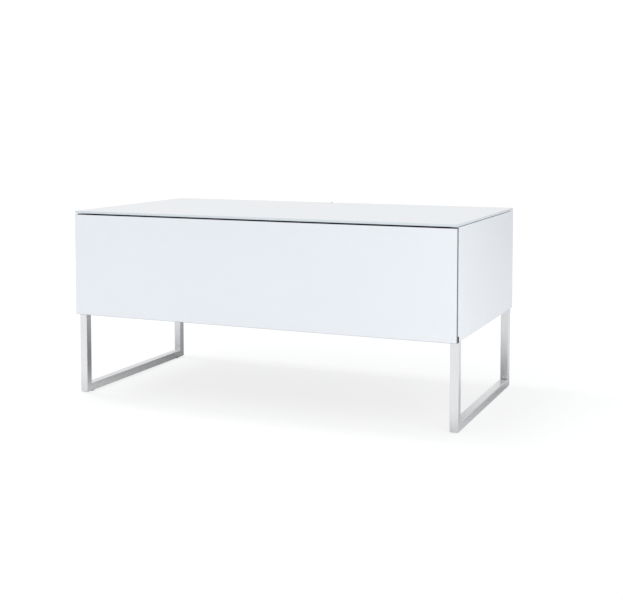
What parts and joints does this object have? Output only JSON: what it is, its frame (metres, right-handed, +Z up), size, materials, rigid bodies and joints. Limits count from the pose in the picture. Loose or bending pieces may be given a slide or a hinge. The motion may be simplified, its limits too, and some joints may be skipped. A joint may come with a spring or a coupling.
{
  "type": "tv stand",
  "caption": "Low white television stand with a glass top, a drop-down push-open glass flap on damper stays, and square-tube steel sled legs",
  "frame": {"origin": "on the floor under the middle of the stand", "axes": "+X to the stand's right as seen from the front, +Y from the flap to the back, +Z up"},
  "size_m": [1, 0.535, 0.47],
  "materials": {
    "white_glass": "toughened glass, painted white on the back, polished",
    "white_lacquer": "fibreboard in high-gloss white lacquer",
    "black_laminate": "fibreboard in matt black laminate",
    "black_plastic": "moulded, matt",
    "black_rubber": "matt",
    "clear_silicone": "clear",
    "black_steel": "black coated steel",
    "zinc_steel": "zinc plated",
    "stainless_steel": "brushed"
  },
  "bodies": {
    "cabinet": {"glass_top": "white_glass", "side_panel_left": "white_lacquer", "side_panel_right": "white_lacquer", "top_panel": "black_laminate", "bottom_panel": "black_laminate", "back_panel": "black_laminate", "divider": "black_laminate", "notch_lining": "black_plastic", "outlet_ring_left": "black_plastic", "outlet_ring_right": "black_plastic", "glass_pad_front_left": "clear_silicone", "glass_pad_front_right": "clear_silicone", "glass_pad_rear_left": "clear_silicone", "glass_pad_rear_right": "clear_silicone", "flap_bumper_left": "black_rubber", "flap_bumper_right": "black_rubber", "hinge_block_left": "black_plastic", "hinge_block_right": "black_plastic", "hinge_pin_left": "zinc_steel", "hinge_pin_right": "zinc_steel", "damper_left": "black_plastic", "damper_right": "black_plastic", "latch_body": "black_plastic", "back_screw_upper_left": "zinc_steel", "back_screw_upper_middle": "zinc_steel", "back_screw_upper_right": "zinc_steel", "back_screw_lower_left": "zinc_steel", "back_screw_lower_middle": "zinc_steel", "back_screw_lower_right": "zinc_steel", "leg_frame_left": "stainless_steel", "leg_frame_right": "stainless_steel", "leg_screw_left_front_inner": "zinc_steel", "leg_screw_left_front_outer": "zinc_steel", "leg_screw_left_rear_inner": "zinc_steel", "leg_screw_left_rear_outer": "zinc_steel", "leg_screw_right_front_inner": "zinc_steel", "leg_screw_right_front_outer": "zinc_steel", "leg_screw_right_rear_inner": "zinc_steel", "leg_screw_right_rear_outer": "zinc_steel", "glide_front_left": "black_plastic", "glide_front_right": "black_plastic", "glide_rear_left": "black_plastic", "glide_rear_right": "black_plastic"},
    "flap": {"flap_glass": "white_glass", "flap_board": "white_lacquer", "hinge_leaf_left": "black_steel", "hinge_leaf_right": "black_steel", "stay_bracket_left": "black_steel", "stay_bracket_right": "black_steel", "latch_strike": "zinc_steel"},
    "arm_left": {"stay_arm_left": "zinc_steel"},
    "arm_right": {"stay_arm_right": "zinc_steel"},
    "link_left": {"stay_link_left": "zinc_steel"},
    "link_right": {"stay_link_right": "zinc_steel"},
    "plunger": {"latch_plunger": "zinc_steel"}
  },
  "joints": [
    {"name": "flap_hinge", "type": "hinge", "parent": "cabinet", "child": "flap", "pos_m": [0, -0.258, 0.2108], "axis": [1, 0, 0], "range_deg": [0, 90]},
    {"name": "arm_left_turn", "type": "hinge", "parent": "cabinet", "child": "arm_left", "pos_m": [-0.4671, -0.196, 0.2628], "axis": [1, 0, 0], "range_deg": [0, 90]},
    {"name": "arm_right_turn", "type": "hinge", "parent": "cabinet", "child": "arm_right", "pos_m": [0.4671, -0.196, 0.2628], "axis": [1, 0, 0], "range_deg": [0, 90]},
    {"name": "link_left_turn", "type": "hinge", "parent": "arm_left", "child": "link_left", "pos_m": [-0.4671, -0.1772, 0.3428], "axis": [1, 0, 0], "range_deg": [-90, 0]},
    {"name": "link_right_turn", "type": "hinge", "parent": "arm_right", "child": "link_right", "pos_m": [0.4671, -0.1772, 0.3428], "axis": [1, 0, 0], "range_deg": [-90, 0]},
    {"name": "plunger_push", "type": "slide", "parent": "cabinet", "child": "plunger", "axis": [0, 1, 0], "range_m": [0, 0.004], "stiffness_N_per_m": 300}
  ],
  "couplings": [
    {"joint": "arm_left_turn", "follows": "flap_hinge", "ratio": 1},
    {"joint": "arm_right_turn", "follows": "flap_hinge", "ratio": 1},
    {"joint": "link_left_turn", "follows": "flap_hinge", "ratio": -1},
    {"joint": "link_right_turn", "follows": "flap_hinge", "ratio": -1}
  ]
}
